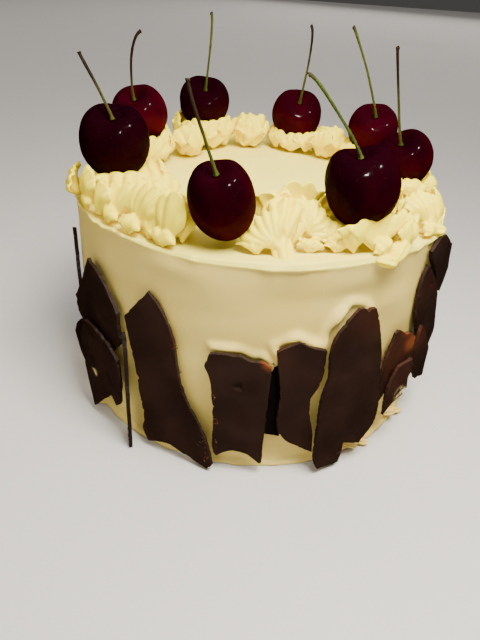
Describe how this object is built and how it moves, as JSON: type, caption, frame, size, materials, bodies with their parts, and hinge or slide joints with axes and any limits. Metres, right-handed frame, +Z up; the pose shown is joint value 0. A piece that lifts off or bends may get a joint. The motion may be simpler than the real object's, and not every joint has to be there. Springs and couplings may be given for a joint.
{
  "type": "buttercream cake",
  "caption": "Round cake in smooth cream, ringed on top with piped cream and cherries on their stems, with broken plates of dark chocolate standing round its side.",
  "frame": {"origin": "centre of the cake's flat base, on the surface it stands on", "axes": "+Z up; -Y is the front seen in the picture; +X to the right of that view"},
  "size_m": [0.1702, 0.1743, 0.1571],
  "materials": {
    "side_cream": "smooth pale cream with faint marks of the spatula",
    "piped_cream": "soft cream, yellower in its grooves",
    "dark_cherry": "very dark red glossy skin",
    "red_cherry": "deep red glossy skin",
    "green_stem": "olive green stalk, browner at its ends",
    "brown_stem": "dry brown stalk",
    "chocolate": "dark chocolate with a soft satin face and rough broken edges"
  },
  "bodies": {
    "root": {"cake": "side_cream", "cherry_1": "dark_cherry", "cherry_2": "dark_cherry", "cherry_3": "dark_cherry", "cherry_4": "red_cherry", "cherry_5": "red_cherry", "cherry_6": "dark_cherry", "cherry_7": "red_cherry", "cherry_8": "dark_cherry", "dollop_a": "piped_cream", "dollop_b": "piped_cream", "dollop_c": "piped_cream", "dollop_d": "piped_cream", "dollop_e": "piped_cream", "dollop_f": "piped_cream", "dollop_g": "piped_cream", "dollop_h": "piped_cream", "nest_2": "piped_cream", "nest_3": "piped_cream", "nest_4": "piped_cream", "nest_5": "piped_cream", "nest_6": "piped_cream", "nest_7": "piped_cream", "nest_8": "piped_cream", "shard_01": "chocolate", "shard_02": "chocolate", "shard_03": "chocolate", "shard_04": "chocolate", "shard_05": "chocolate", "shard_06": "chocolate", "shard_07": "chocolate", "shard_08": "chocolate", "shard_09": "chocolate", "shard_10": "chocolate", "shard_11": "chocolate", "shard_12": "chocolate", "shard_13": "chocolate", "shard_14": "chocolate", "shard_15": "chocolate", "shard_16": "chocolate", "shard_17": "chocolate", "shard_18": "chocolate", "shard_19": "chocolate", "shard_20": "chocolate", "shard_21": "chocolate", "shard_22": "chocolate", "shard_23": "chocolate", "shard_24": "chocolate", "stem_1": "green_stem", "stem_2": "green_stem", "stem_3": "brown_stem", "stem_4": "green_stem", "stem_5": "brown_stem", "stem_6": "green_stem", "stem_7": "brown_stem", "stem_8": "brown_stem"}
  },
  "joints": []
}
